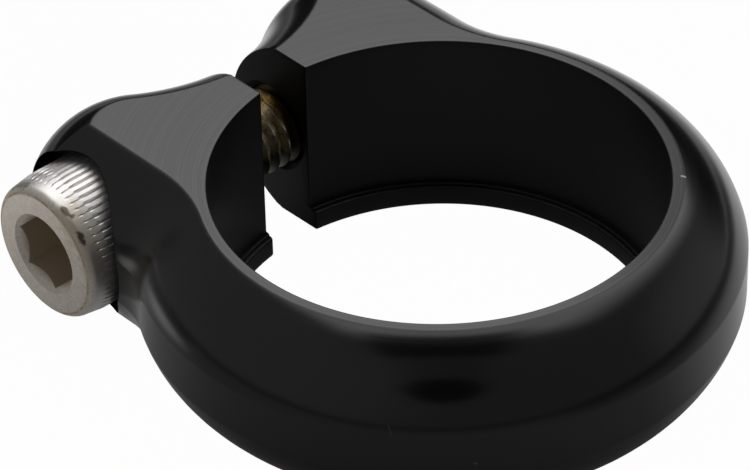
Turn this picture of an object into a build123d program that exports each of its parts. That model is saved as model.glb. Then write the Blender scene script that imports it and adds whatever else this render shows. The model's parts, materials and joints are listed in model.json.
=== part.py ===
from build123d import *
import math
import os

# Seatpost clamp: a split collar, crowned all round, whose two ears are drawn together by a cap screw.
# Millimetres. The origin is on the bore's axis at mid-height. +Z is up, with the bore's lip at the bottom,
# +Y points out through the slot between the ears, and +X runs along the screw from its head to its tip.

# Bore, which grips the seat tube, and the lip that stops the tube's end
bore_d = 31.8
lip_step = 0.65
lip_height = 1.8
lip_chamfer = 0.3

# Crowned section: a narrow flat land on top, an arc down to a plain band at mid-height, and the same below
height = 14.2
wall = 5.35
top_land = 0.68
band_height = 3.6
crown_bulge = 0.87

# Ears, given by the plan of their flat top face
slot_width = 4.2
ear_length = 10.85
root_radius = 12.0
tip_radius = 3.2
tip_inset = 2.15
tip_setback = 0.67
scallop_radius = 15.5

# Cap screw, M6. The head's front is a plain shoulder, and the knurl behind it stands a little prouder.
shank_d = 6.0
screw_length = 25.0
head_d = 10.6
head_height = 6.0
shoulder_d = 10.2
shoulder_height = 1.45
shoulder_chamfer = 0.4
tip_chamfer = 0.8
socket_across_flats = 5.0
socket_depth = 3.2
socket_mouth_d = 6.2
socket_mouth_half_angle = 45.0
socket_point_half_angle = 60.0
socket_turn = 16.0

# How the screw sits in the ears
bore_to_screw = 3.8
ear_grip = 11.15
head_clearance = 0.8
shank_clearance = 0.25
thread_clearance = 0.05
hole_edge_break = 0.5

# Worked out from the above
bore_r = bore_d / 2
half_height = height / 2
half_band = band_height / 2
crown_run = wall - top_land
ring_top_r = bore_r + top_land
ear_side = slot_width / 2 + ear_length
screw_y = bore_r + bore_to_screw
seat_x = -slot_width / 2 - ear_grip
shank_r = shank_d / 2
head_r = head_d / 2
shoulder_r = shoulder_d / 2
clearance_hole_r = shank_r + shank_clearance
thread_hole_r = shank_r + thread_clearance
# The root's arc touches the ring's circle and the ear's side, and the scallop's arc touches both ear tips.
root_x = ear_side + root_radius
root_y = math.sqrt((ring_top_r + root_radius) ** 2 - root_x**2)
root_angle = math.degrees(math.atan2(root_y, root_x))
tip_x = ear_side - tip_inset
tip_y = screw_y - tip_setback
scallop_y = tip_y + math.sqrt((scallop_radius + tip_radius) ** 2 - tip_x**2)
tip_angle = math.degrees(math.atan2(scallop_y - tip_y, tip_x))
# Past this everything is outside the clamp.
reach = 2 * (screw_y + wall + root_radius)


def crowned_flank(edge, outwards):
    """Edges of the crowned flank from bottom to top, in (x, z), from a top edge at x = edge."""

    def at(offset, z):
        return (edge + outwards * offset, z)

    rise = half_height - half_band
    chord = math.hypot(crown_run, rise)
    middle_offset = crown_run / 2 + crown_bulge * rise / chord
    middle_z = (half_height + half_band) / 2 + crown_bulge * crown_run / chord
    return [
        ThreePointArc(at(0, -half_height), at(middle_offset, -middle_z), at(crown_run, -half_band)),
        Line(at(crown_run, -half_band), at(crown_run, half_band)),
        ThreePointArc(at(crown_run, half_band), at(middle_offset, middle_z), at(0, half_height)),
    ]


def turned(top_radius, outwards, x, y, start=0, sweep=360):
    """Turned post (outwards 1) or waisted cutter (outwards -1) with the crowned flank, on an axis along Z."""
    flank = crowned_flank(top_radius, outwards)
    top = (top_radius, half_height)
    bottom = (top_radius, -half_height)
    axis_side = Polyline(top, (0, half_height), (0, -half_height), bottom)
    profile = Plane.XZ * make_face(Curve() + flank + axis_side)
    return Pos(x, y) * Rot(0, 0, start) * revolve(profile, Axis.Z, sweep)


def prism(*points):
    return extrude(Polygon(*points, align=None), amount=half_height, both=True)


def ring_roots_and_sides():
    """The ring, the arcs that lead from it into the ears, and the ears' sides, run on past the ears' tips."""
    ring = turned(ring_top_r, 1, 0, 0, 180 - root_angle, 180 + 2 * root_angle)
    roots = prism((0, 0), (root_x, root_y), (-root_x, root_y))
    for side in (-1, 1):
        roots -= turned(root_radius, -1, side * root_x, root_y)
    right = crowned_flank(ear_side, 1)
    left = crowned_flank(-ear_side, -1)
    across = [
        Line((-ear_side, half_height), (ear_side, half_height)),
        Line((-ear_side, -half_height), (ear_side, -half_height)),
    ]
    sides = extrude(Plane.XZ * make_face(Curve() + right + left + across), amount=-reach)
    return ring + roots + Pos(0, root_y) * sides


def tips_and_scallop():
    """All that lies behind the ears' rounded tips and the crowned hollow between them."""
    behind = Pos(0, tip_y - reach) * Box(2 * reach, 2 * reach, height)
    hollow = prism((-tip_x, tip_y), (tip_x, tip_y), (0, scallop_y)) - turned(scallop_radius, -1, 0, scallop_y)
    right_tip = turned(tip_radius, 1, tip_x, tip_y, 0, 180 - tip_angle)
    left_tip = turned(tip_radius, 1, -tip_x, tip_y, tip_angle, 180 - tip_angle)
    return behind + hollow + right_tip + left_tip


def bore_cutter():
    """What the bore takes out: a plain wall down to the lip's ledge, then the lip and its chamfer."""
    lip_r = bore_r - lip_step
    ledge_z = lip_height - half_height
    section = Polyline(
        (0, -height),
        (lip_r, -height),
        (lip_r, ledge_z - lip_chamfer),
        (lip_r + lip_chamfer, ledge_z),
        (bore_r, ledge_z),
        (bore_r, height),
        (0, height),
        close=True,
    )
    return revolve(Plane.XZ * make_face(section), Axis.Z)


def along_screw(profile_points):
    """Solid turned about the screw's axis from (x, radius) points that start and end on the axis."""
    face = make_face(Polyline(*profile_points, close=True))
    return Pos(0, screw_y) * revolve(face, Axis.X)


def screw_holes():
    """Counterbore and clearance hole in the ear under the head, and the threaded hole in the other ear."""
    counterbore_r = head_r + head_clearance
    slot_face = slot_width / 2
    head_side = along_screw(
        [
            (-reach, 0),
            (-reach, counterbore_r),
            (seat_x, counterbore_r),
            (seat_x, clearance_hole_r),
            (0, clearance_hole_r),
            (0, 0),
        ]
    )
    outer_face = ear_side + crown_run
    thread_mouth_r = thread_hole_r + hole_edge_break
    tip_side = along_screw(
        [
            (0, 0),
            (0, thread_mouth_r),
            (slot_face, thread_mouth_r),
            (slot_face + hole_edge_break, thread_hole_r),
            (outer_face - hole_edge_break, thread_hole_r),
            (outer_face, thread_mouth_r),
            (reach, thread_mouth_r),
            (reach, 0),
        ]
    )
    return head_side + tip_side


def clamp_collar():
    body = ring_roots_and_sides() & tips_and_scallop()
    body -= bore_cutter()
    body -= Pos(0, reach / 2) * Box(slot_width, reach, 2 * height)
    return body - screw_holes()


def clamp_screw():
    head_face = seat_x - head_height
    shoulder_end = head_face + shoulder_height
    tip = seat_x + screw_length
    blank = along_screw(
        [
            (head_face, 0),
            (head_face, shoulder_r - shoulder_chamfer),
            (head_face + shoulder_chamfer, shoulder_r),
            (shoulder_end, shoulder_r),
            (shoulder_end + head_r - shoulder_r, head_r),
            (seat_x, head_r),
            (seat_x, shank_r),
            (tip - tip_chamfer, shank_r),
            (tip, shank_r - tip_chamfer),
            (tip, 0),
        ]
    )
    hexagon_r = socket_across_flats / math.sqrt(3)
    hexagon = Rot(0, 0, socket_turn) * RegularPolygon(hexagon_r, 6)
    socket_plane = Plane(origin=(head_face, screw_y, 0), x_dir=(0, 1, 0), z_dir=(1, 0, 0))
    socket = extrude(socket_plane * hexagon, amount=socket_depth)
    mouth_r = socket_mouth_d / 2
    point_r = socket_across_flats / 2
    mouth_depth = mouth_r / math.tan(math.radians(socket_mouth_half_angle))
    point_depth = point_r / math.tan(math.radians(socket_point_half_angle))
    floor = head_face + socket_depth
    mouth = along_screw([(head_face, 0), (head_face, mouth_r), (head_face + mouth_depth, 0)])
    point = along_screw([(floor, 0), (floor, point_r), (floor + point_depth, 0)])
    return blank - socket - mouth - point


os.makedirs("parts", exist_ok=True)
nodes = {"clamp_collar": clamp_collar(), "clamp_screw": clamp_screw()}
for name, shape in nodes.items():
    export_step(shape, f"parts/{name}.step")
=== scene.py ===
import bmesh
import bpy
import json
import math
from mathutils import Matrix, Vector


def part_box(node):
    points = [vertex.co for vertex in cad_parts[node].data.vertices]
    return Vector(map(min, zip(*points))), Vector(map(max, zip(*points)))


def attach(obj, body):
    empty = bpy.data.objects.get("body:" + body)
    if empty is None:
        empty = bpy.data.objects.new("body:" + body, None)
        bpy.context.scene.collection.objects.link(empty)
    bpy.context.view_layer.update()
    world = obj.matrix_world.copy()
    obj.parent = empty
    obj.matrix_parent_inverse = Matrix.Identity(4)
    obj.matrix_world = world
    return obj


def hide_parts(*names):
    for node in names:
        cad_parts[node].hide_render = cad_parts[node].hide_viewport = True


# Seatpost clamp: a black anodised split collar, crowned all round, drawn together by a knurled cap screw.
# Sizes are in millimetres and angles in degrees. Meshes are made in metres, in the frame of the solids.
# A named pair of numbers is a soft edge: a mask starts at the first and is complete at the second.

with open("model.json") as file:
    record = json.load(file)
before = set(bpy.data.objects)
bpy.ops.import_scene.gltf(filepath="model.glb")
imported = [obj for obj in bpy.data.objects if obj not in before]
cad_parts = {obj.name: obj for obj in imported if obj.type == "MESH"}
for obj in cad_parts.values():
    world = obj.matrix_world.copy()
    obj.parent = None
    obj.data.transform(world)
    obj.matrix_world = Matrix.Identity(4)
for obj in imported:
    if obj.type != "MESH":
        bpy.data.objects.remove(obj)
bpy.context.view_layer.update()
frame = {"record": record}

MM = 0.001

# Overall sizes, read from the solids and the record
collar_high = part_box("clamp_collar")[1] / MM
screw_low, screw_high = (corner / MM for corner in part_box("clamp_screw"))
bore_mount = next(mount for mount in frame["record"]["mounts"] if mount["name"] == "seat_tube_bore")
bore_r = bore_mount["dims"]["r_mm"]
half_height = round(collar_high.z, 2)
outer_r = round(collar_high.x, 2)
screw_y = round((screw_low.y + screw_high.y) / 2, 2)
head_r = round(screw_high.z, 2)
head_face_x = round(screw_low.x, 2)
screw_tip_x = round(screw_high.x, 2)

# Collar's section
top_land = 0.68
half_band = 1.8
crown_bulge = 0.87
land_edge_ease = 0.1
band_edge_ease = 0.12
bore_edge_round = 0.1

# Lip at the bottom of the bore, with a shallow notch along its top edge
lip_step = 0.65
lip_height = 1.8
lip_round = 0.3
notch_width = 0.33
notch_drop = 0.16
notch_edge_ease = 0.2
ledge_edge_ease = 0.1

# Collar's plan, given by the edge of its flat top
slot_half = 2.1
ear_length = 10.85
root_radius = 12.0
tip_radius = 3.2
tip_inset = 2.15
tip_setback = 0.67
scallop_radius = 15.5
corner_round = 0.3
slot_round = 0.15

# Screw's head
head_height = 6.0
head_seat_round = 0.25
shoulder_r = 5.1
shoulder_length = 1.05
shoulder_edge_round = 0.7
knurl_swell = 1.0
knurl_runout = 1.6
knurl_teeth = 60
knurl_depth = 0.3
knurl_flank = 2.4
socket_sides = 6
socket_across_flats = 5.0
socket_depth = 3.2
socket_mouth_r = 3.1
socket_point_half_angle = 60.0
socket_turn = 16.0

# Screw's shank, M6 with a pitch of 1 mm. The first and last turns are trimmed to its ends.
thread_pitch = 1.0
thread_crest_r = 3.0
thread_root_r = 2.39
thread_lead_in = 1.5
thread_spare_turns = 2
tip_chamfer = 0.8
relief_length = 0.9
relief_depth = 0.1

# Holes in the ears
head_clearance = 0.8
shank_clearance = 0.25
thread_clearance = 0.05
hole_edge_break = 0.5

# Worked out from the above
crown_run = outer_r - bore_r - top_land
ring_top_r = bore_r + top_land
ear_side = slot_half + ear_length
root_x = ear_side + root_radius
root_y = math.sqrt((ring_top_r + root_radius) ** 2 - root_x**2)
root_angle = math.degrees(math.atan2(root_y, root_x))
tip_x = ear_side - tip_inset
tip_y = screw_y - tip_setback
scallop_y = tip_y + math.sqrt((scallop_radius + tip_radius) ** 2 - tip_x**2)
tip_angle = math.degrees(math.atan2(scallop_y - tip_y, tip_x))
seat_x = head_face_x + head_height
knurl_x = head_face_x + shoulder_length
ear_face_x = ear_side + crown_run
counterbore_r = head_r + head_clearance
clearance_hole_r = thread_crest_r + shank_clearance
thread_hole_r = thread_crest_r + thread_clearance
thread_mouth_r = thread_hole_r + hole_edge_break

# Fineness of the meshes
RING_STEPS = 90
ROOT_STEPS = 16
SIDE_STEPS = 8
CORNER_STEPS = 6
TIP_STEPS = 24
SCALLOP_STEPS = 16
EDGE_STEPS = 4
SLOT_STEPS = 10
BORE_STEPS = 120
CROWN_STEPS = 14
HOLE_STEPS = 144
TOOTH_STEPS = 8
HEAD_FACE_STEPS = 4
HEAD_EDGE_STEPS = 8
HEAD_SWELL_STEPS = 12
KNURL_STEPS = 8
SOCKET_STEPS = TOOTH_STEPS * knurl_teeth // socket_sides
SOCKET_BEVEL_STEPS = 2
SOCKET_WALL_STEPS = 4
THREAD_STEPS_PER_TURN = 60
FLOOR_STEPS = 96
flat_margin = 0.05
merge_distance = 0.002
sliver_length = 0.001
collar_sharp_angle = 28
head_sharp_angle = 40
thread_sharp_angle = 25


class Field:
    """A socket in a node tree. Arithmetic on it adds Math nodes to that tree."""

    def __init__(self, tree, socket):
        self.tree = tree
        self.socket = socket

    def math(self, operation, *values):
        return self.tree.node("ShaderNodeMath", dict(enumerate(values)), operation=operation)

    def __add__(self, other):
        return self.math("ADD", self, other)

    def __radd__(self, other):
        return self.math("ADD", other, self)

    def __sub__(self, other):
        return self.math("SUBTRACT", self, other)

    def __rsub__(self, other):
        return self.math("SUBTRACT", other, self)

    def __mul__(self, other):
        return self.math("MULTIPLY", self, other)

    def __rmul__(self, other):
        return self.math("MULTIPLY", other, self)

    def __truediv__(self, other):
        return self.math("DIVIDE", self, other)

    def __rtruediv__(self, other):
        return self.math("DIVIDE", other, self)

    def __abs__(self):
        return self.math("ABSOLUTE", self)

    def lesser(self, other):
        return self.math("MINIMUM", self, other)

    def greater(self, other):
        return self.math("MAXIMUM", self, other)

    def root(self):
        return self.math("SQRT", self)

    def centred(self):
        """A noise about 0, where the texture itself lies about a half."""
        return self - 0.5

    def rise(self, low, high):
        """0 up to low and 1 from high on, with a smooth step between. A low above high makes it fall."""
        values = {"Value": self, "From Min": low, "From Max": high}
        return self.tree.node("ShaderNodeMapRange", values, interpolation_type="SMOOTHSTEP")

    def output(self, name):
        """Another output of the node that this one comes from."""
        return Field(self.tree, self.socket.node.outputs[name])


class Tree:
    """Adds nodes to a node tree."""

    def __init__(self, node_tree):
        self.node_tree = node_tree

    def node(self, kind, inputs=None, output=0, **settings):
        """Adds a node, sets it up, feeds its sockets with values or links, and gives one of its outputs."""
        made = self.node_tree.nodes.new(kind)
        for name, value in settings.items():
            setattr(made, name, value)
        for key, value in (inputs or {}).items():
            if isinstance(value, Field):
                self.node_tree.links.new(value.socket, made.inputs[key])
            else:
                made.inputs[key].default_value = value
        return Field(self, made.outputs[output]) if made.outputs else None

    def vector(self, operation, *values, output="Vector"):
        return self.node("ShaderNodeVectorMath", dict(enumerate(values)), output, operation=operation)

    def scaled(self, vector, scale):
        return self.node("ShaderNodeVectorMath", {0: vector, "Scale": scale}, operation="SCALE")

    def along(self, vector, direction):
        """How far a vector reaches in a direction."""
        return self.vector("DOT_PRODUCT", vector, direction, output="Value")

    def distance(self, place, other):
        return self.vector("DISTANCE", place, other, output="Value")

    def blend(self, share, first, second):
        """A colour that goes from the first to the second as the share goes from 0 to 1."""
        return self.node("ShaderNodeMix", {0: share, 6: first, 7: second}, 2, data_type="RGBA")

    def noise(self, place, scale, detail, roughness=0.5):
        inputs = {"Vector": place, "Scale": scale, "Detail": detail, "Roughness": roughness}
        return self.node("ShaderNodeTexNoise", inputs)


def new_piece(name, mesh):
    piece = bpy.data.objects.new(name, mesh)
    bpy.context.scene.collection.objects.link(piece)
    return piece


def mesh_from(name, points, faces):
    """Mesh from points in millimetres."""
    mesh = bpy.data.meshes.new(name)
    mesh.from_pydata([Vector(point) * MM for point in points], [], faces)
    return mesh


def evaluated_mesh(piece):
    """Plain mesh of a piece with its modifiers worked in."""
    return bpy.data.meshes.new_from_object(piece.evaluated_get(bpy.context.evaluated_depsgraph_get()))


def closed_mesh(name, *meshes):
    """One mesh from several that meet along their rims, with open rims filled and all faces outwards."""
    work = bmesh.new()
    for mesh in meshes:
        work.from_mesh(mesh)
    bmesh.ops.remove_doubles(work, verts=work.verts, dist=merge_distance * MM)
    bmesh.ops.dissolve_degenerate(work, edges=work.edges, dist=sliver_length * MM)
    bmesh.ops.holes_fill(work, edges=work.edges, sides=0)
    bmesh.ops.recalc_face_normals(work, faces=work.faces)
    joined = bpy.data.meshes.new(name)
    work.to_mesh(joined)
    work.free()
    return joined


def shade_by_angle(mesh, sharp_from):
    mesh.shade_smooth()
    mesh.set_sharp_from_angle(angle=math.radians(sharp_from))


def quads(rows, width, closed=False):
    """Faces between neighbours in equal rows of points that are listed row after row."""
    faces = []
    for row in range(rows - 1):
        low = row * width
        high = low + width
        for column in range(width if closed else width - 1):
            beside = (column + 1) % width
            faces.append((low + column, low + beside, high + beside, high + column))
    return faces


# Runs of points, as (x, y), (offset, z) or (x, radius), and directions


def arc(centre, radius, start, end, steps):
    points = []
    for step in range(steps + 1):
        angle = math.radians(start + (end - start) * step / steps)
        points.append((centre[0] + radius * math.cos(angle), centre[1] + radius * math.sin(angle)))
    return points


def straight(start, end, steps):
    return [tuple(a + (b - a) * step / steps for a, b in zip(start, end)) for step in range(steps + 1)]


def eased_corner(before, corner, after):
    """Curve that leaves and arrives along the two edges that meet at a corner."""
    points = []
    for step in range(EDGE_STEPS + 1):
        t = step / EDGE_STEPS
        shares = ((1 - t) ** 2, 2 * t * (1 - t), t**2)
        points.append(tuple(sum(s * p for s, p in zip(shares, axis)) for axis in zip(before, corner, after)))
    return points


def chained(*runs):
    """Runs of points joined end to start."""
    points = list(runs[0])
    for run in runs[1:]:
        points.extend(run[1:])
    return points


def bearing(centre, point):
    return math.degrees(math.atan2(point[1] - centre[1], point[0] - centre[0]))


def towards(azimuth, elevation):
    """Direction from the clamp, with the azimuth measured from +X to +Y."""
    flat = math.cos(math.radians(elevation))
    turn = math.radians(azimuth)
    return Vector((flat * math.cos(turn), flat * math.sin(turn), math.sin(math.radians(elevation))))


# Collar


def collar_half_loop(offset, slot_inset, bore_radius):
    """Right half of a level cut through the collar, as (x, y, share) points.

    It runs from the back round the outside, in along the slot's face and back along the bore. The share goes
    from 0 on the outside to 1 at the outer edge of the slot's face and 2 on the bore.
    """
    side_x = ear_side + offset
    tip_r = tip_radius + offset
    scallop_r = scallop_radius - offset
    slot_x = slot_half + slot_inset

    corner_x = side_x - corner_round
    corner = (corner_x, tip_y + math.sqrt((tip_r - corner_round) ** 2 - (corner_x - tip_x) ** 2))
    corner_angle = bearing((tip_x, tip_y), corner)
    edge_x = slot_x + slot_round
    edge = (edge_x, scallop_y - math.sqrt((scallop_r + slot_round) ** 2 - edge_x**2))
    edge_angle = bearing((0, scallop_y), edge)
    mouth = (edge_x, math.sqrt((bore_radius + slot_round) ** 2 - edge_x**2))
    mouth_angle = bearing((0, 0), mouth)

    outside = chained(
        arc((0, 0), ring_top_r + offset, -90, root_angle, RING_STEPS),
        arc((root_x, root_y), root_radius - offset, 180 + root_angle, 180, ROOT_STEPS),
        straight((side_x, root_y), (side_x, corner[1]), SIDE_STEPS),
        arc(corner, corner_round, 0, corner_angle, CORNER_STEPS),
        arc((tip_x, tip_y), tip_r, corner_angle, 180 - tip_angle, TIP_STEPS),
        arc((0, scallop_y), scallop_r, -tip_angle, edge_angle, SCALLOP_STEPS),
    )
    slot_edge = arc(edge, slot_round, 180 + edge_angle, 180, EDGE_STEPS)[1:]
    slot_face = straight((slot_x, edge[1]), (slot_x, mouth[1]), SLOT_STEPS)[1:]
    bore = chained(
        arc(mouth, slot_round, 180, 180 + mouth_angle, EDGE_STEPS),
        arc((0, 0), bore_radius, mouth_angle, -90, BORE_STEPS),
    )[1:]
    loop = [(x, y, 0) for x, y in outside]
    loop += [(x, y, (step + 1) / EDGE_STEPS) for step, (x, y) in enumerate(slot_edge)]
    loop += [(x, y, 1 + (step + 1) / SLOT_STEPS) for step, (x, y) in enumerate(slot_face)]
    loop += [(x, y, 2) for x, y in bore]
    return loop


def crown_profile():
    """Outer section as (offset from the land's edge, z), from the bottom land to the top one."""
    rise = half_height - half_band
    chord = math.hypot(crown_run, rise)
    radius = (chord**2 / 4 + crown_bulge**2) / (2 * crown_bulge)
    inwards = radius - crown_bulge
    centre_offset = crown_run / 2 - inwards * rise / chord
    centre_z = (half_height + half_band) / 2 - inwards * crown_run / chord
    centre = (centre_offset, centre_z)
    land_edge = (0, half_height)
    land_start = (-land_edge_ease, half_height)
    band_edge = (crown_run, half_band)
    band_end = (crown_run, half_band - band_edge_ease)
    crown_start = bearing(centre, band_edge) + math.degrees(band_edge_ease / radius)
    crown_end = bearing(centre, land_edge) - math.degrees(land_edge_ease / radius)
    crown = arc(centre, radius, crown_start, crown_end, CROWN_STEPS)
    upper = chained(
        [(crown_run, 0), band_end],
        eased_corner(band_end, band_edge, crown[0]),
        crown,
        eased_corner(crown[-1], land_edge, land_start),
        [land_start, (land_start[0] - flat_margin, half_height)],
    )
    lower = [(offset, -z) for offset, z in reversed(upper)]
    return chained(lower, upper)


def slot_profile(crown):
    """Slot face's (inset, z) beside each point of the crown, with its top and bottom edges eased."""
    top = (slot_round, half_height)
    ends = chained(
        eased_corner((0, half_height - slot_round), (0, half_height), top),
        [top, (slot_round + flat_margin, half_height)],
    )
    middle = [(0, z) for _, z in crown[len(ends) : -len(ends)]]
    return [(inset, -z) for inset, z in reversed(ends)] + middle + ends


def bore_profile(rows):
    """Bore's (radius, z) in as many rows as the crown: the lip at the bottom, the wall and its top edge."""
    lip_r = bore_r - lip_step
    ledge_z = lip_height - half_height
    notch_r = lip_r + notch_width
    notch_z = ledge_z - notch_drop
    foot = (lip_r + lip_round, -half_height)
    foot_top = (lip_r, lip_round - half_height)
    notch_edge = (
        (lip_r, notch_z - notch_edge_ease),
        (lip_r, notch_z),
        (lip_r + notch_edge_ease, notch_z),
    )
    ledge_edge = (
        (notch_r, ledge_z - ledge_edge_ease),
        (notch_r, ledge_z),
        (notch_r + ledge_edge_ease, ledge_z),
    )
    lip = chained(
        [(foot[0] + flat_margin, -half_height), foot],
        eased_corner(foot, (lip_r, -half_height), foot_top),
        [foot_top, notch_edge[0]],
        eased_corner(*notch_edge),
        [notch_edge[-1], (notch_r, notch_z), ledge_edge[0]],
        eased_corner(*ledge_edge),
        [ledge_edge[-1], (bore_r, ledge_z)],
    )
    wall_top = (bore_r, half_height - bore_edge_round)
    rim = (bore_r + bore_edge_round, half_height)
    top = chained(
        eased_corner(wall_top, (bore_r, half_height), rim),
        [rim, (rim[0] + flat_margin, half_height)],
    )
    wall_steps = rows - len(lip) - len(top) + 1
    return chained(lip, straight(lip[-1], wall_top, wall_steps), top)


def uncut_collar():
    """Collar without its screw holes: level loops joined one to the next, with a flat top and bottom."""
    crown = crown_profile()
    slot = slot_profile(crown)
    bore = bore_profile(len(crown))
    points = []
    for (offset, crown_z), (inset, slot_z), (radius, bore_z) in zip(crown, slot, bore):
        half = []
        for x, y, share in collar_half_loop(offset, inset, radius):
            to_slot = min(share, 1)
            to_bore = max(share - 1, 0)
            z = crown_z + (slot_z - crown_z) * to_slot + (bore_z - slot_z) * to_bore
            half.append((x, y, z))
        points += half + [(-x, y, z) for x, y, z in reversed(half[1:-1])]
    width = len(points) // len(crown)
    bottom = list(reversed(range(width)))
    top = list(range(len(points) - width, len(points)))
    return mesh_from("collar", points, quads(len(crown), width, closed=True) + [bottom, top])


def turned_on_screw_axis(name, profile):
    """Closed mesh turned about the screw's axis from (x, radius) points, with a flat disc at each end."""
    points = []
    for x, radius in profile:
        for step in range(HOLE_STEPS):
            angle = 2 * math.pi * step / HOLE_STEPS
            points.append((x, screw_y + radius * math.cos(angle), radius * math.sin(angle)))
    discs = [range(HOLE_STEPS), range(len(points) - HOLE_STEPS, len(points))]
    faces = discs + quads(len(profile), HOLE_STEPS, closed=True)
    return closed_mesh(name, mesh_from(name, points, faces))


def cut(piece, cutter_mesh):
    cutter = new_piece("cutter", cutter_mesh)
    modifier = piece.modifiers.new("cut", "BOOLEAN")
    modifier.operation = "DIFFERENCE"
    modifier.solver = "EXACT"
    modifier.object = cutter
    result = evaluated_mesh(piece)
    piece.modifiers.remove(modifier)
    bpy.data.objects.remove(cutter)
    piece.data = result


def clamp_collar():
    collar = new_piece("collar", uncut_collar())
    outside_x = 2 * outer_r
    head_side = [
        (-outside_x, counterbore_r),
        (seat_x, counterbore_r),
        (seat_x, clearance_hole_r),
        (0, clearance_hole_r),
    ]
    tip_side = [
        (0, thread_mouth_r),
        (slot_half, thread_mouth_r),
        (slot_half + hole_edge_break, thread_hole_r),
        (ear_face_x - hole_edge_break, thread_hole_r),
        (ear_face_x, thread_mouth_r),
        (outside_x, thread_mouth_r),
    ]
    cut(collar, turned_on_screw_axis("head side", head_side))
    cut(collar, turned_on_screw_axis("tip side", tip_side))
    shade_by_angle(collar.data, collar_sharp_angle)
    return collar


# Screw


def new_geometry_tree(name, **inputs):
    """Geometry Nodes tree with named inputs, given as their socket types, and a mesh output."""
    group = bpy.data.node_groups.new(name, "GeometryNodeTree")
    for label, kind in inputs.items():
        group.interface.new_socket(label.replace("_", " ").title(), in_out="INPUT", socket_type=kind)
    group.interface.new_socket("Mesh", in_out="OUTPUT", socket_type="NodeSocketGeometry")
    tree = Tree(group)
    return tree, tree.node("NodeGroupInput")


def end_tree(tree, geometry, material):
    """Closes a Geometry Nodes tree: copies made real, meeting points merged, the material set."""
    real = tree.node("GeometryNodeRealizeInstances", {"Geometry": geometry})
    merged = tree.node("GeometryNodeMergeByDistance", {"Geometry": real, "Distance": merge_distance * MM})
    finished = tree.node("GeometryNodeSetMaterial", {"Geometry": merged, "Material": material})
    tree.node("NodeGroupOutput", {"Mesh": finished})
    return tree.node_tree


def copies_round_axis_tree():
    """Copies of a slice, evenly spaced round the screw's axis."""
    tree, given = new_geometry_tree(
        "copies round axis",
        slice="NodeSocketGeometry",
        count="NodeSocketInt",
        start_angle="NodeSocketFloat",
        axis_y="NodeSocketFloat",
        material="NodeSocketMaterial",
    )
    centre = tree.node("ShaderNodeCombineXYZ", {"Y": given.output("Axis Y")})
    points = tree.node("GeometryNodePoints", {"Count": given.output("Count"), "Position": centre})
    step = 2 * math.pi / given.output("Count")
    angle = tree.node("GeometryNodeInputIndex") * step + given.output("Start Angle")
    turn = tree.node("ShaderNodeCombineXYZ", {"X": angle})
    copies = tree.node(
        "GeometryNodeInstanceOnPoints",
        {"Points": points, "Instance": given.output("Slice"), "Rotation": turn},
    )
    return end_tree(tree, copies, given.output("Material"))


def helical_thread_tree():
    """Thread wound right-handed about the screw's axis: flat crests, flat roots and straight flanks."""
    tree, given = new_geometry_tree(
        "helical thread",
        pitch="NodeSocketFloat",
        turns="NodeSocketInt",
        steps_per_turn="NodeSocketInt",
        root_radius="NodeSocketFloat",
        crest_radius="NodeSocketFloat",
        start_x="NodeSocketFloat",
        axis_y="NodeSocketFloat",
        material="NodeSocketMaterial",
    )
    across_points = 17
    half_grid = 0.5
    half_crest = 1 / 16
    flank = 5 / 16
    turns = given.output("Turns")
    along_points = turns * given.output("Steps Per Turn") + 1
    grid = tree.node(
        "GeometryNodeMeshGrid",
        {
            "Size X": 2 * half_grid,
            "Size Y": 2 * half_grid,
            "Vertices X": along_points,
            "Vertices Y": across_points,
        },
    )
    place = tree.node("ShaderNodeSeparateXYZ", {0: tree.node("GeometryNodeInputPosition")})
    turn = (place + half_grid) * turns
    across = place.output("Y") + half_grid
    down_flank = ((abs(across - half_grid) - half_crest) / flank).greater(0).lesser(1)
    depth = given.output("Crest Radius") - given.output("Root Radius")
    radius = given.output("Crest Radius") - depth * down_flank
    angle = 2 * math.pi * turn
    wound = tree.node(
        "ShaderNodeCombineXYZ",
        {
            "X": given.output("Start X") + given.output("Pitch") * (turn + across),
            "Y": given.output("Axis Y") + radius * angle.math("COSINE", angle),
            "Z": radius * angle.math("SINE", angle),
        },
    )
    thread = tree.node("GeometryNodeSetPosition", {"Geometry": grid, "Position": wound})
    return end_tree(tree, thread, given.output("Material"))


def grown(tree, base, **inputs):
    """Mesh that a Geometry Nodes tree makes on a base mesh, with its inputs set by their identifiers."""
    holder = new_piece("holder", base)
    modifier = holder.modifiers.new("grow", "NODES")
    modifier.node_group = tree
    for item in tree.interface.items_tree:
        key = item.name.replace(" ", "_").lower()
        if item.in_out == "INPUT" and key in inputs:
            modifier[item.identifier] = inputs[key]
    mesh = evaluated_mesh(holder)
    holder.modifiers.remove(modifier)
    bpy.data.objects.remove(holder)
    return mesh


def head_section():
    """Head's outside as (x, radius), from the socket's mouth over the front edge to the seat's middle."""
    swell = (knurl_x + knurl_swell, head_r)
    edge_centre = (head_face_x + shoulder_edge_round, shoulder_r - shoulder_edge_round)
    swell_slope = math.degrees(math.atan2(head_r - shoulder_r, swell[0] - edge_centre[0]))
    front_edge = arc(edge_centre, shoulder_edge_round, 180, 90 + swell_slope, HEAD_EDGE_STEPS)
    seat_centre = (seat_x - head_seat_round, head_r - head_seat_round)
    seat_edge = arc(seat_centre, head_seat_round, 90, 0, EDGE_STEPS)
    return chained(
        straight((head_face_x, socket_mouth_r), front_edge[0], HEAD_FACE_STEPS),
        front_edge,
        straight(front_edge[-1], swell, HEAD_SWELL_STEPS),
        straight(swell, seat_edge[0], KNURL_STEPS),
        seat_edge,
        [seat_edge[-1], (seat_x, thread_crest_r), (seat_x, 0)],
    )


def knurled_radius(x, radius, from_groove):
    """Radius at an arc distance from the nearest groove. Grooves deepen along the run-out, from a point."""
    deepening = min(max((x - knurl_x) / knurl_runout, 0), 1)
    return radius - max(knurl_depth * deepening - knurl_flank * from_groove, 0)


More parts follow.
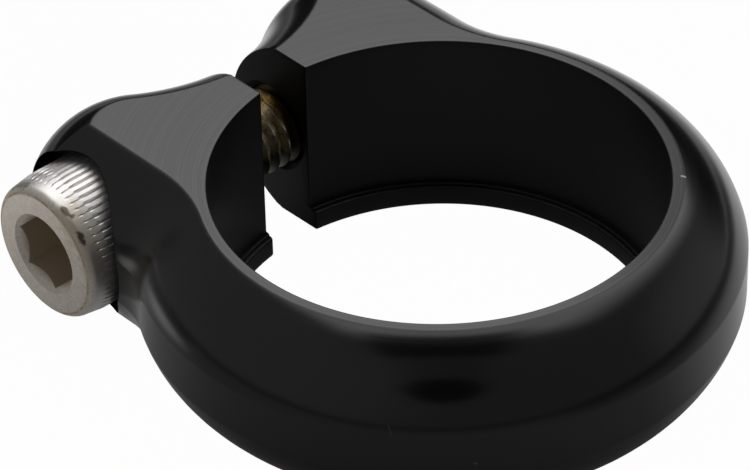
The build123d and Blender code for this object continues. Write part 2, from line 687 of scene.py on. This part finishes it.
def head_slice():
    """One tooth of the head, from groove to groove, about the X axis."""
    half_tooth = math.pi / knurl_teeth
    section = head_section()
    points = []
    for x, radius in section:
        for step in range(TOOTH_STEPS + 1):
            angle = half_tooth * (2 * step / TOOTH_STEPS - 1)
            r = knurled_radius(x, radius, radius * (half_tooth - abs(angle)))
            points.append((x, r * math.cos(angle), r * math.sin(angle)))
    return mesh_from("head slice", points, quads(len(section), TOOTH_STEPS + 1))


def socket_slice():
    """One side of the hexagon socket, corner to corner: bevelled mouth, flat, floor and drill point."""
    flat_r = socket_across_flats / 2
    floor_x = head_face_x + socket_depth
    point_x = floor_x + flat_r / math.tan(math.radians(socket_point_half_angle))
    half_side = math.pi / socket_sides
    points = []
    for step in range(SOCKET_STEPS + 1):
        angle = 2 * half_side * step / SOCKET_STEPS
        hexagon_r = flat_r / math.cos(angle - half_side)
        wall_x = head_face_x + socket_mouth_r - hexagon_r
        run = chained(
            straight((head_face_x, socket_mouth_r), (wall_x, hexagon_r), SOCKET_BEVEL_STEPS),
            straight((wall_x, hexagon_r), (floor_x, hexagon_r), SOCKET_WALL_STEPS),
            [(floor_x, hexagon_r), (floor_x, flat_r), (point_x, 0)],
        )
        points += [(x, r * math.cos(angle), r * math.sin(angle)) for x, r in run]
    return mesh_from("socket slice", points, quads(SOCKET_STEPS + 1, len(run)))


def screw_head(copies_tree, material):
    half_tooth = math.pi / knurl_teeth
    socket_start = math.radians(socket_turn)
    teeth_start = socket_start + half_tooth
    shared = {"axis_y": screw_y * MM, "material": material}
    outside = grown(copies_tree, head_slice(), count=knurl_teeth, start_angle=teeth_start, **shared)
    socket = grown(copies_tree, socket_slice(), count=socket_sides, start_angle=socket_start, **shared)
    head = new_piece("screw_head", closed_mesh("screw_head", outside, socket))
    shade_by_angle(head.data, head_sharp_angle)
    return head


def shank_limit(x):
    """Radius under which the thread stays: it runs out towards the head and is chamfered at the tip."""
    tip_r = thread_crest_r - tip_chamfer
    relief_r = thread_root_r - relief_depth
    return min(tip_r + screw_tip_x - x, relief_r + max(x - seat_x - relief_length, 0), thread_crest_r)


def trim_to_shank(mesh):
    """Draws a thread's points in between the screw's seat and tip, and under the shank's limit."""
    for vertex in mesh.vertices:
        x, y, z = vertex.co / MM
        x = min(max(x, seat_x), screw_tip_x)
        share = min(shank_limit(x) / math.hypot(y - screw_y, z), 1)
        vertex.co = Vector((x, screw_y + (y - screw_y) * share, z * share)) * MM


def screw_thread(thread_tree, material):
    sheet = grown(
        thread_tree,
        bpy.data.meshes.new("thread"),
        pitch=thread_pitch * MM,
        turns=math.ceil((screw_tip_x - seat_x) / thread_pitch) + thread_spare_turns,
        steps_per_turn=THREAD_STEPS_PER_TURN,
        root_radius=thread_root_r * MM,
        crest_radius=thread_crest_r * MM,
        start_x=(seat_x - thread_lead_in * thread_pitch) * MM,
        axis_y=screw_y * MM,
        material=material,
    )
    trim_to_shank(sheet)
    thread = new_piece("screw_thread", closed_mesh("screw_thread", sheet))
    shade_by_angle(thread.data, thread_sharp_angle)
    return thread


# Finishes


def new_finish(name):
    """Empty material, its tree and the place on the piece in millimetres."""
    material = bpy.data.materials.new(name)
    material.use_nodes = True
    material.node_tree.nodes.clear()
    tree = Tree(material.node_tree)
    place = tree.scaled(tree.node("ShaderNodeTexCoord", output="Object"), 1 / MM)
    return material, tree, place


def surface_of(tree, **inputs):
    """Principled shader, with an underscore for each space in its sockets' names."""
    sockets = {name.replace("_", " "): value for name, value in inputs.items()}
    return tree.node("ShaderNodeBsdfPrincipled", sockets)


def end_finish(tree, surface):
    tree.node("ShaderNodeOutputMaterial", {"Surface": surface})


def axes_of(tree, place):
    x = tree.node("ShaderNodeSeparateXYZ", {0: place})
    return x, x.output("Y"), x.output("Z")


def from_screw_axis(y, z):
    return ((y - screw_y) * (y - screw_y) + z * z).root()


def distance_to_line(tree, place, start, end):
    """Distance from a place to the straight line between two points."""
    run = end - start
    from_start = tree.vector("SUBTRACT", place, start)
    share = tree.along(from_start, run / run.length_squared).greater(0).lesser(1)
    return tree.distance(from_start, tree.scaled(run, share))


# Side of the clamp that looks away from the camera, and the one on the camera's right
back_azimuth = 47.5
right_azimuth = back_azimuth - 90

# Noise in the finishes: its detail, and how rough it is where it is rough
fine_detail = 3.0
broad_detail = 4.0
rough_octaves = 0.6

# Black anodising: its two shades, and the crown's roughness with what each place adds to it
anodised_dark = (0.002, 0.002, 0.0021, 1)
anodised_pale = (0.004, 0.004, 0.0042, 1)
crown_roughness = 0.16
land_roughness = 0.14
right_land_roughness = 0.22
bore_roughness = 0.26
grain_roughness = 0.05
line_roughness = 0.08
land_line_roughness = 0.13
crown_ior = 1.6
cut_roughness = 0.5
cut_ior = 1.22
anodised_relief = 0.001
grain_relief_share = 0.5
grain_scale = 9.0
line_scale = 8.0
mask_edge = (0.05, 0.01)
bore_mask_edge = (0.06, 0.01)
slot_side = (0, 1)
land_depth = (0.12, 0.02)
lined_depth = (0.9, 0.2)
right_reach = (6, 16)

# Nick in the land's edge, scratch across the crease and specks of dust: both ends, half width and bareness
small_marks = [
    ((11.80, -11.62, 7.06), (11.96, -11.76, 7.04), 0.13, 0.5),
    ((-16.82, -12.64, 2.52), (-16.83, -12.93, 1.84), 0.05, 0.05),
    ((-20.74, 4.60, 1.62), (-20.74, 4.64, 1.62), 0.09, 0.04),
    ((-20.69, 1.72, 3.19), (-20.69, 1.76, 3.19), 0.12, 0.02),
    ((-13.03, -16.78, -0.51), (-12.95, -16.86, -0.51), 0.1, 0.08),
]


def black_anodised():
    """Polished on the crown, satin on the flat lands, and duller where the bore, slot and holes are cut."""
    material, tree, place = new_finish("black anodised aluminium")
    x, y, z = axes_of(tree, place)
    bore_distance = (x * x + y * y).root()
    screw_distance = from_screw_axis(y, z)
    from_top = half_height - abs(z)

    in_bore = (bore_distance - bore_r).rise(*bore_mask_edge)
    in_slot = (abs(x) - slot_half).rise(*mask_edge) * y.rise(*slot_side)
    in_counterbore = (screw_distance - counterbore_r).rise(*mask_edge) * (x - seat_x).rise(*mask_edge)
    in_screw_hole = (screw_distance - thread_mouth_r).rise(*mask_edge)
    in_ears = in_slot.greater(in_counterbore).greater(in_screw_hole)

    grain = tree.noise(place, grain_scale, fine_detail)
    turned = tree.node("ShaderNodeCombineXYZ", {"X": bore_distance, "Y": z})
    lines = tree.noise(turned, line_scale, fine_detail, rough_octaves)
    to_right = tree.along(place, towards(right_azimuth, 0)).rise(*right_reach)
    land = from_top.rise(*land_depth) * (land_roughness + right_land_roughness * to_right)
    line_depth = line_roughness + land_line_roughness * from_top.rise(*lined_depth) * (1 - in_bore)
    texture = grain_roughness * grain.centred() + line_depth * lines.centred()
    roughness = crown_roughness + land + bore_roughness * in_bore + texture

    shade = tree.blend(grain, anodised_dark, anodised_pale)
    for start, end, half_width, bareness in small_marks:
        from_mark = distance_to_line(tree, place, Vector(start), Vector(end))
        bare = (bareness, bareness, bareness, 1)
        shade = tree.blend(from_mark.rise(half_width, half_width / 2), shade, bare)

    relief = lines + grain_relief_share * grain
    bump = tree.node("ShaderNodeBump", {"Height": relief, "Strength": 1.0, "Distance": anodised_relief * MM})
    polished = surface_of(tree, Base_Color=shade, Roughness=roughness, IOR=crown_ior, Normal=bump)
    dull = surface_of(tree, Base_Color=shade, Roughness=cut_roughness, IOR=cut_ior, Normal=bump)
    end_finish(tree, tree.node("ShaderNodeMixShader", {0: in_ears, 1: polished, 2: dull}))
    return material


# Stainless steel: colours, with the dull and the bright shade of the head's face and side
# Painted light: the face's colours are raised past the steel's own to brighten the face
lit_face_dull = (0.78, 0.70, 0.61, 1)
lit_face_bright = (0.96, 0.90, 0.81, 1)
side_dull = (0.80, 0.77, 0.75, 1)
side_bright = (0.92, 0.90, 0.88, 1)
# Painted reflection: colour of the tan line on the head's front edge
edge_reflection_tan = (0.50, 0.37, 0.21, 1)
shoulder_tan = (0.70, 0.59, 0.44, 1)
socket_oil = (0.60, 0.51, 0.39, 1)
stain_and_shade_black = (0.07, 0.06, 0.045, 1)

# Stainless steel: roughness and metal of the head, and what the side and the socket take off
steel_roughness = 0.5
steel_grain_roughness = 0.12
side_polish = 0.06
socket_polish = 0.1
steel_metal = 0.85
socket_grime = 0.5
steel_grain_scale = 6.0
steel_patch_scale = 1.9
mottle_grain_share = 0.6
mottle_contrast = (0.3, 0.7)
socket_rim = (0.02, -0.05)
socket_from = (0.2, 0.6)
side_from = (0.2, 0.7)

# Marks on the shoulder: turns about the axis, distance from the face, half width, raggedness and strength
shoulder_stains_and_shade = [
    ((112, 121), 0.6, 0.3, 0.9, 0.8),
    ((135, 143), 0.4, 0.28, 0.7, 0.9),
    # Painted shade: a dark smudge on the upper shoulder
    ((46, 66), 0.6, 0.5, 1.2, 0.45),
]
shoulder_tint = ((118, 160), 0.7, 1.5, 2.0, 0.6)
mark_core = 0.3

# Painted reflection on the head's front edge: a tan line along the middle of its rounding
edge_line_strength = 0.8
edge_line_inset = 0.45
edge_line_width = (0.13, 0.03)
edge_line_depth = (0.4, 0.2)
edge_line_patches = (0.35, 0.6)


def stainless_steel():
    """Satin steel with a painted reflection as a tan line on the front edge, marks on the shoulder that are
    partly stained and partly painted shade, a face brightened with painted light, and a dark, oily socket.
    """
    material, tree, place = new_finish("stainless steel")
    x, y, z = axes_of(tree, place)
    depth = x - head_face_x
    screw_distance = from_screw_axis(y, z)
    grain = tree.noise(place, steel_grain_scale, fine_detail)
    patches = tree.noise(place, steel_patch_scale, broad_detail, rough_octaves)

    def on_shoulder(turn, from_face):
        angle = math.radians(turn)
        across = (shoulder_r * math.cos(angle), shoulder_r * math.sin(angle))
        return Vector((head_face_x + from_face, screw_y + across[0], across[1]))

    def mark(turns, from_face, half_width, raggedness, strength):
        ends = (on_shoulder(turn, from_face) for turn in turns)
        ragged = distance_to_line(tree, place, *ends) + raggedness * patches.centred()
        return strength * ragged.rise(half_width, mark_core * half_width)

    # The first two marks are stains, the third is painted shade
    stains_and_shade = mark(*shoulder_stains_and_shade[0])
    for shoulder_mark in shoulder_stains_and_shade[1:]:
        stains_and_shade = stains_and_shade.greater(mark(*shoulder_mark))
    # Painted reflection: a tan line along the middle of the front edge's rounding, in patches
    edge_line = abs(screw_distance - (shoulder_r - edge_line_inset)).rise(*edge_line_width)
    front_edge = edge_line * depth.rise(*edge_line_depth) * patches.rise(*edge_line_patches)
    in_socket = (screw_distance - socket_mouth_r).rise(*socket_rim) * depth.rise(*socket_from)
    on_side = depth.rise(*side_from) * (1 - in_socket)

    mixed = mottle_grain_share * grain + (1 - mottle_grain_share) * patches
    mottle = mixed.rise(*mottle_contrast)
    # Painted light: the face is given raised colours
    face = tree.blend(mottle, lit_face_dull, lit_face_bright)
    side = tree.blend(mottle, side_dull, side_bright)
    clean = tree.blend(on_side, face, side)
    edge_reflected = tree.blend(edge_line_strength * front_edge, clean, edge_reflection_tan)
    tinted = tree.blend(mark(*shoulder_tint), edge_reflected, shoulder_tan)
    oily = tree.blend(in_socket, tinted, socket_oil)
    shade = tree.blend(stains_and_shade, oily, stain_and_shade_black)
    texture = steel_grain_roughness * grain.centred()
    roughness = steel_roughness + texture - socket_polish * in_socket - side_polish * on_side
    metal = steel_metal - socket_grime * in_socket
    end_finish(tree, surface_of(tree, Base_Color=shade, Roughness=roughness, Metallic=metal))
    return material


# Grease on the thread: its colours, with those of painted shade, a painted shadow and a painted highlight
grease_pale = (0.72, 0.65, 0.48, 1)
grease_brown = (0.36, 0.30, 0.20, 1)
grease_gold = (0.66, 0.50, 0.20, 1)
grease_streak = (0.22, 0.13, 0.06, 1)
# Painted shade on the thread's lower side
underside_shade = (0.08, 0.08, 0.06, 1)
# Painted shadow where the thread enters the threaded hole
mouth_shadow_black = (0.02, 0.018, 0.014, 1)
# Pale crest: bare metal, and partly a painted highlight
bare_crest_and_highlight = (0.95, 0.88, 0.70, 1)

# Grease on the thread: its noise, and where it and the painted shade, shadow and highlight change along the
# screw, above and below its axis
smear_scale = 1.4
smear_contrast = (0.3, 0.7)
streak_scale = 4.0
streak_contrast = (0.5, 0.65)
streak_strength = 0.7
gold_from = (0.7, 1.3)
shade_below = (0.6, -1.0)
shade_raggedness = 3
shadow_from = (1.65, 1.9)
shadow_raggedness = 0.4
shadow_strength = 0.9
bare_and_lit_from = (0.5, 0.8)
bare_and_lit_to = (1.7, 1.4)
bare_and_lit_above = (-0.5, 1.0)
crest_depth = (0.12, 0.03)
grease_roughness = 0.25
streak_roughness = 0.25
crest_polish = 0.15


def greased_thread():
    """Thread with old grease: tan in the slot and golden towards the threaded ear. A painted shadow turns it
    black where it enters the ear's hole, painted shade darkens its lower side, and its upper crests are pale,
    bare and partly a painted highlight.
    """
    material, tree, place = new_finish("greased thread")
    x, y, z = axes_of(tree, place)
    smear = tree.noise(place, smear_scale, broad_detail)
    streaks = tree.noise(place, streak_scale, fine_detail, rough_octaves)
    tan = tree.blend(smear.rise(*smear_contrast), grease_pale, grease_brown)
    golden = tree.blend((x + smear.centred()).rise(*gold_from), tan, grease_gold)
    mottled = tree.blend(streak_strength * streaks.rise(*streak_contrast), golden, grease_streak)
    # Painted shade: darker on the thread's lower side
    shade_underneath = (z + shade_raggedness * smear.centred()).rise(*shade_below)
    shaded_below = tree.blend(shade_underneath, mottled, underside_shade)
    # Painted shadow: the thread goes black where it enters the threaded hole's mouth
    shadow_in_mouth = (x + shadow_raggedness * smear.centred()).rise(*shadow_from)
    shadowed_in_mouth = tree.blend(shadow_strength * shadow_in_mouth, shaded_below, mouth_shadow_black)
    on_crest = (thread_crest_r - from_screw_axis(y, z)).rise(*crest_depth)
    # Bare crests on the upper side, partly a painted highlight
    rubbed_and_highlit = on_crest * z.rise(*bare_and_lit_above) * x.rise(*bare_and_lit_from) * x.rise(*bare_and_lit_to)
    shade = tree.blend(rubbed_and_highlit * (1 - shadow_in_mouth), shadowed_in_mouth, bare_crest_and_highlight)
    roughness = grease_roughness + streak_roughness * streaks - crest_polish * rubbed_and_highlit
    end_finish(tree, surface_of(tree, Base_Color=shade, Roughness=roughness, Metallic=1.0))
    return material


# Camera
camera_target = Vector((-1.403, 5.064, 0.0))
camera_range = 313.593
camera_azimuth = -42.457
camera_elevation = 37.941
camera_roll = -1.387
camera_lens = 216.0
camera_sensor = 36.0
camera_clip_start = 0.01


def studio_camera():
    data = bpy.data.cameras.new("camera")
    data.lens = camera_lens
    data.sensor_width = camera_sensor
    data.clip_start = camera_clip_start
    camera = bpy.data.objects.new("camera", data)
    turn = (
        Matrix.Rotation(math.radians(camera_azimuth), 4, "Z")
        @ Matrix.Rotation(math.radians(90 - camera_elevation), 4, "X")
        @ Matrix.Rotation(math.radians(camera_roll), 4, "Z")
    )
    away = turn.to_3x3() @ Vector((0, 0, camera_range))
    camera.matrix_world = Matrix.Translation((camera_target + away) * MM) @ turn
    bpy.context.scene.collection.objects.link(camera)
    bpy.context.scene.camera = camera


# Panel, by its edges as seen from the clamp, and how far it dims towards its top
panel_elevation = 55.0
panel_level = 2.6
panel_least_ahead = 0.05
panel_left = (-0.52, -0.3)
panel_right = (1.0, 0.4)
panel_bottom = (-0.6, -0.28)
panel_top = (0.95, 0.6)
panel_dimming = 0.45
panel_dimming_height = (-0.3, 0.5)

# Surroundings: a plain level, a brighter right front, left wall and floor behind
surround_level = 0.18
right_front = towards(-25, 10)
right_front_level = 0.2
right_front_spread = (0.8, 1)
left_wall = towards(150, 20)
left_wall_level = 0.1
left_wall_spread = (0.2, 0.9)
far_floor_level = 0.48
far_floor_spread = (0.2, 0.6)

# Dark things in the surroundings: how dark they are and where they lie
gear_darkness = 0.87
back_wall_spread = (0.45, 0.8)
back_wall_top = (0.45, 0.2)
ground_top = (-0.02, -0.08)
lens_direction = towards(back_azimuth + 180, 36)
lens_spread = (0.966, 0.986)
boom_side = (0.34, 0.2)
boom_front = (-0.42, -0.3)
boom_back = (0.08, 0)
boom_foot = (0, 0.2)
column_share = 0.35
column_side = (0.3, 0.1)
column_back = (0.1, -0.1)
column_foot = (0.3, 0.6)


def studio_world():
    """White to the camera. As light, a soft panel behind the clamp and dim surroundings with dark gear."""
    world = bpy.data.worlds.new("studio")
    world.use_nodes = True
    world.node_tree.nodes.clear()
    tree = Tree(world.node_tree)
    direction = tree.node("ShaderNodeTexCoord", output="Generated")
    height = tree.along(direction, towards(0, 90))
    back = tree.along(direction, towards(back_azimuth, 0))
    side = tree.along(direction, towards(right_azimuth, 0))

    ahead = tree.along(direction, towards(back_azimuth, panel_elevation)).greater(panel_least_ahead)
    across = side / ahead
    upward = tree.along(direction, towards(back_azimuth, panel_elevation + 90)) / ahead
    in_width = across.rise(*panel_left) * across.rise(*panel_right)
    in_height = upward.rise(*panel_bottom) * upward.rise(*panel_top)
    panel = in_width * in_height * (1 - panel_dimming * upward.rise(*panel_dimming_height))

    back_wall = back.rise(*back_wall_spread) * height.rise(*back_wall_top)
    ground = height.rise(*ground_top)
    lens = tree.along(direction, lens_direction).rise(*lens_spread)
    boom_run = back.rise(*boom_front) * back.rise(*boom_back)
    boom = abs(side).rise(*boom_side) * boom_run * height.rise(*boom_foot)
    column = abs(side).rise(*column_side) * back.rise(*column_back) * height.rise(*column_foot)
    dark = back_wall.greater(ground).greater(lens).greater(boom).greater(column_share * column)

    right = right_front_level * tree.along(direction, right_front).rise(*right_front_spread)
    left = left_wall_level * tree.along(direction, left_wall).rise(*left_wall_spread)
    far_floor = far_floor_level * ground * back.rise(*far_floor_spread)
    shown = (surround_level + right + left + panel_level * panel) * (1 - gear_darkness * dark) + far_floor
    to_camera = tree.node("ShaderNodeLightPath", output="Is Camera Ray")
    surface = tree.node("ShaderNodeBackground", {"Strength": to_camera + (1 - to_camera) * shown})
    tree.node("ShaderNodeOutputWorld", {"Surface": surface})
    bpy.context.scene.world = world


# Floor, and how white the camera sees it
floor_radius = 150.0
floor_gap = 0.05
floor_z = -half_height - floor_gap
floor_white_share = 0.985

# Floor in reflections, as painted light: its white share behind the clamp, and what changes it, with bright
# patches and a painted shadow by the clamp
floor_low_share = 0.03
floor_high_share = 0.85
behind_reach = (-18, 42)
clear_of_clamp = (15, 24)
far_share = 0.35
far_reach = (90, 40)
head_patch_place = (-36.5, 38.5, floor_z)
head_patch_reach = (15, 4)
head_patch_share = 0.7
band_patch_place = (24, -22, floor_z)
band_patch_reach = (22, 8)
band_patch_share = 0.15

# Painted shade on the floor, in reflections and in its own colour: far off on the right, and on the left
# towards the back and far off
right_slant = (-0.5, -0.75)
right_distance = (50, 80)
right_shade = 0.6
left_reach = (8, 26)
left_back_dim = 0.4
left_back_reach = (2, 14)
left_far_dim = 0.7
left_far_reach = (45, 65)
left_shade = 0.75
left_shade_reach = (-8, 4)

# Floor's own colour, which is darker far off in front: painted shade
floor_dark = 0.13
floor_paler_by = 0.17
pale_reach = (110, 80)


def studio_floor():
    """Pale floor that keeps the clamp's soft shadow. Painted light and shade lie on it: reflections show it
    brighter behind than in front, with bright patches and a painted shadow by the clamp, and its own colour
    is darker far off in front, on the left towards the back and far off on the right.
    """
    rim = [(x, y, floor_z) for x, y in arc((0, 0), floor_radius, 0, 360, FLOOR_STEPS)[:-1]]
    floor = new_piece("floor", mesh_from("floor", rim, [range(len(rim))]))
    material, tree, place = new_finish("pale floor")
    to_camera = tree.node("ShaderNodeLightPath", output="Is Camera Ray")
    reflected = to_camera.output("Is Glossy Ray").greater(to_camera.output("Is Transmission Ray"))
    distance = tree.vector("LENGTH", place, output="Value")
    backwards = tree.along(place, towards(back_azimuth, 0))
    leftwards = tree.along(place, towards(back_azimuth + 90, 0))
    behind = backwards.rise(*behind_reach)
    on_left = leftwards.rise(*left_reach)
    far_right = (leftwards / distance).rise(*right_slant) * distance.rise(*right_distance)

    left_back = left_back_dim * backwards.rise(*left_back_reach)
    left_far = left_far_dim * distance.rise(*left_far_reach)
    near = far_share + (1 - far_share) * distance.rise(*far_reach)
    lasting = near * (1 - far_right) * (1 - on_left * left_back.greater(left_far))
    # Painted light and shade, seen in reflections: brighter behind, with a painted shadow by the clamp
    open_floor = floor_high_share * behind * distance.rise(*clear_of_clamp) * lasting
    # Painted light: bright patches for the head's face and the band to reflect
    head_light_patch = head_patch_share * tree.distance(place, head_patch_place).rise(*head_patch_reach)
    band_light_patch = band_patch_share * tree.distance(place, band_patch_place).rise(*band_patch_reach)
    bright = floor_low_share + open_floor + head_light_patch + band_light_patch
    white_share = to_camera * floor_white_share + reflected * bright.lesser(1)

    # Painted shade in the floor's own colour: darker far off in front, on the left towards the back and far
    # off on the right
    pale = floor_dark + floor_paler_by * distance.rise(*pale_reach).greater(behind)
    shaded = left_shade * on_left * backwards.rise(*left_shade_reach)
    colour = pale * (1 - shaded) * (1 - right_shade * far_right)
    lit = tree.node("ShaderNodeBsdfDiffuse", {"Color": colour})
    white = tree.node("ShaderNodeEmission", {"Strength": 1.0})
    end_finish(tree, tree.node("ShaderNodeMixShader", {0: white_share, 1: lit, 2: white}))
    floor.data.materials.append(material)


def main():
    bpy.context.scene.view_settings.view_transform = "Standard"
    studio_camera()
    studio_world()
    studio_floor()

    steel = stainless_steel()
    grease = greased_thread()

    collar = clamp_collar()
    collar.data.materials.clear()
    collar.data.materials.append(black_anodised())
    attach(collar, "collar")
    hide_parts("clamp_collar")

    head = screw_head(copies_round_axis_tree(), steel)
    thread = screw_thread(helical_thread_tree(), grease)
    for piece, material in ((head, steel), (thread, grease)):
        piece.data.materials.clear()
        piece.data.materials.append(material)
        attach(piece, "screw")
        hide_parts("clamp_screw")


main()
